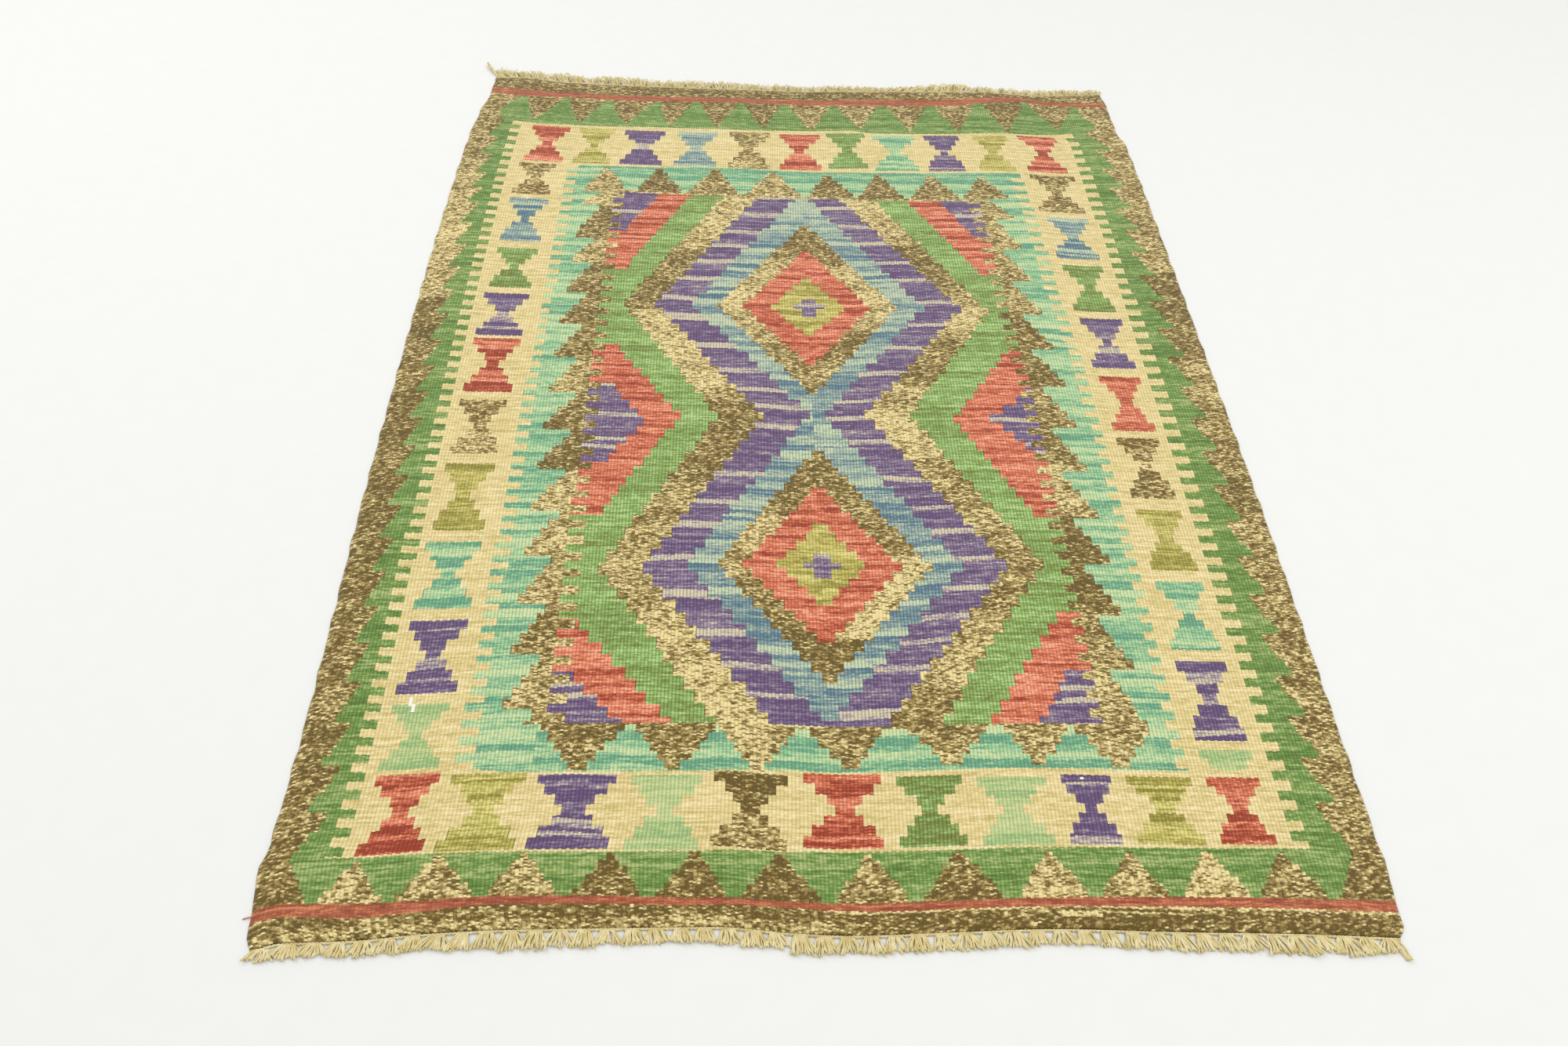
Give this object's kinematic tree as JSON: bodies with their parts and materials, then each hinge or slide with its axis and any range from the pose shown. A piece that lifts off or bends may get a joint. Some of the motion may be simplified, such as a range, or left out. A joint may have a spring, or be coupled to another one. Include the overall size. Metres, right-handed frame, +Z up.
{
  "type": "kilim rug",
  "caption": "Small flat-woven tapestry rug with stepped diamonds, hourglass border and cut warp fringes, lying flat on a floor.",
  "frame": {"origin": "middle of the rug's box, fringes included, on the floor", "axes": "+X across the rug from the left selvedge to the right, +Y along it to the far end, +Z up"},
  "size_m": [0.8878, 1.273, 0.0051],
  "materials": {
    "wool_weave": "matt weft-faced wool tapestry weave in stepped blocks of green, turquoise, beige, purple, coral red, blue, olive and mottled brown",
    "fringe_cotton": "matt undyed warp yarn, cut in short bunches below a twined cord"
  },
  "bodies": {
    "root": {"kilim_body": "wool_weave", "fringe_far": "fringe_cotton", "fringe_near": "fringe_cotton"}
  },
  "joints": []
}
